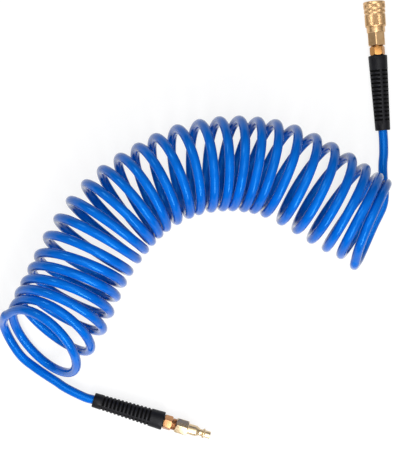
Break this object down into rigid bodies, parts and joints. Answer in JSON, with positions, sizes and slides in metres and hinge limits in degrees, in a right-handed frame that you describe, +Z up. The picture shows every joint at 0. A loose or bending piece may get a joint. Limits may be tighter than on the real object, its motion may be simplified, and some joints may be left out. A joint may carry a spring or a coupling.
{
  "type": "coiled air hose",
  "caption": "Coiled air hose with slotted bend restrictors, a swivelling quick plug on one end and a sleeve-locked quick coupler with ball lock and shut-off valve on the other.",
  "frame": {"origin": "on the floor, under the middle of the bounding box", "axes": "+Z up from the floor the hose lies on; +Y from the plug toward the coupler, +X toward the side that the coupler lies on"},
  "size_m": [0.4264, 0.4798, 0.1048],
  "materials": {
    "hose": "smooth polyurethane, glossy",
    "restrictor_rubber": "moulded rubber, satin",
    "ferrule_brass": "drawn and crimped",
    "stem_brass": "turned",
    "seal_rubber": "moulded rubber, matte",
    "nut_brass": "turned, polished",
    "plug_brass": "turned, polished",
    "coupler_brass": "turned and knurled, polished",
    "spring_steel": "drawn wire",
    "ball_steel": "polished"
  },
  "bodies": {
    "hose": {"hose_coil": "hose", "hose_tail_plug_end": "hose", "hose_tail_coupler_end": "hose", "bend_restrictor_plug_end": "restrictor_rubber", "bend_restrictor_coupler_end": "restrictor_rubber", "crimp_ferrule_plug_end": "ferrule_brass", "crimp_ferrule_coupler_end": "ferrule_brass", "barbed_stem_plug_end": "stem_brass", "barbed_stem_coupler_end": "stem_brass", "stem_oring_plug_end": "seal_rubber", "stem_oring_coupler_end": "seal_rubber"},
    "plug_end": {"swivel_nut_plug_end": "nut_brass", "quick_plug": "plug_brass"},
    "coupler": {"swivel_nut_coupler_end": "nut_brass", "coupler_rear_body": "coupler_brass", "coupler_barrel": "coupler_brass", "coupler_seal": "seal_rubber", "sleeve_retaining_ring": "spring_steel", "sleeve_spring": "spring_steel", "valve_spring": "spring_steel"},
    "sleeve": {"coupler_sleeve": "coupler_brass"},
    "valve": {"valve_poppet": "stem_brass"},
    "ball_1": {"locking_ball_1": "ball_steel"},
    "ball_2": {"locking_ball_2": "ball_steel"},
    "ball_3": {"locking_ball_3": "ball_steel"},
    "ball_4": {"locking_ball_4": "ball_steel"}
  },
  "joints": [
    {"name": "plug_swivel", "type": "hinge", "parent": "hose", "child": "plug_end", "pos_m": [-0.03429, -0.22051, 0.0105], "axis": [0.9563, -0.2924, 0], "continuous": true},
    {"name": "coupler_swivel", "type": "hinge", "parent": "hose", "child": "coupler", "pos_m": [0.19853, 0.18169, 0.012], "axis": [-0.0785, 0.9969, 0], "continuous": true},
    {"name": "sleeve_slide", "type": "slide", "parent": "coupler", "child": "sleeve", "axis": [0.0785, -0.9969, 0], "range_m": [0, 0.0045], "stiffness_N_per_m": 2500, "springref_m": -0.004, "deforming": ["sleeve_spring"]},
    {"name": "valve_slide", "type": "slide", "parent": "coupler", "child": "valve", "axis": [0.0785, -0.9969, 0], "range_m": [0, 0.0035], "stiffness_N_per_m": 900, "springref_m": -0.004, "deforming": ["valve_spring"]},
    {"name": "ball_1_slide", "type": "slide", "parent": "coupler", "child": "ball_1", "axis": [0.7049, 0.0555, -0.7071], "range_m": [0, 0.0016]},
    {"name": "ball_2_slide", "type": "slide", "parent": "coupler", "child": "ball_2", "axis": [0.7049, 0.0555, 0.7071], "range_m": [0, 0.0016]},
    {"name": "ball_3_slide", "type": "slide", "parent": "coupler", "child": "ball_3", "axis": [-0.7049, -0.0555, 0.7071], "range_m": [0, 0.0016]},
    {"name": "ball_4_slide", "type": "slide", "parent": "coupler", "child": "ball_4", "axis": [-0.7049, -0.0555, -0.7071], "range_m": [0, 0.0016]}
  ],
  "couplings": [
    {"joint": "ball_1_slide", "follows": "sleeve_slide", "ratio": 0.35556},
    {"joint": "ball_2_slide", "follows": "sleeve_slide", "ratio": 0.35556},
    {"joint": "ball_3_slide", "follows": "sleeve_slide", "ratio": 0.35556},
    {"joint": "ball_4_slide", "follows": "sleeve_slide", "ratio": 0.35556}
  ]
}
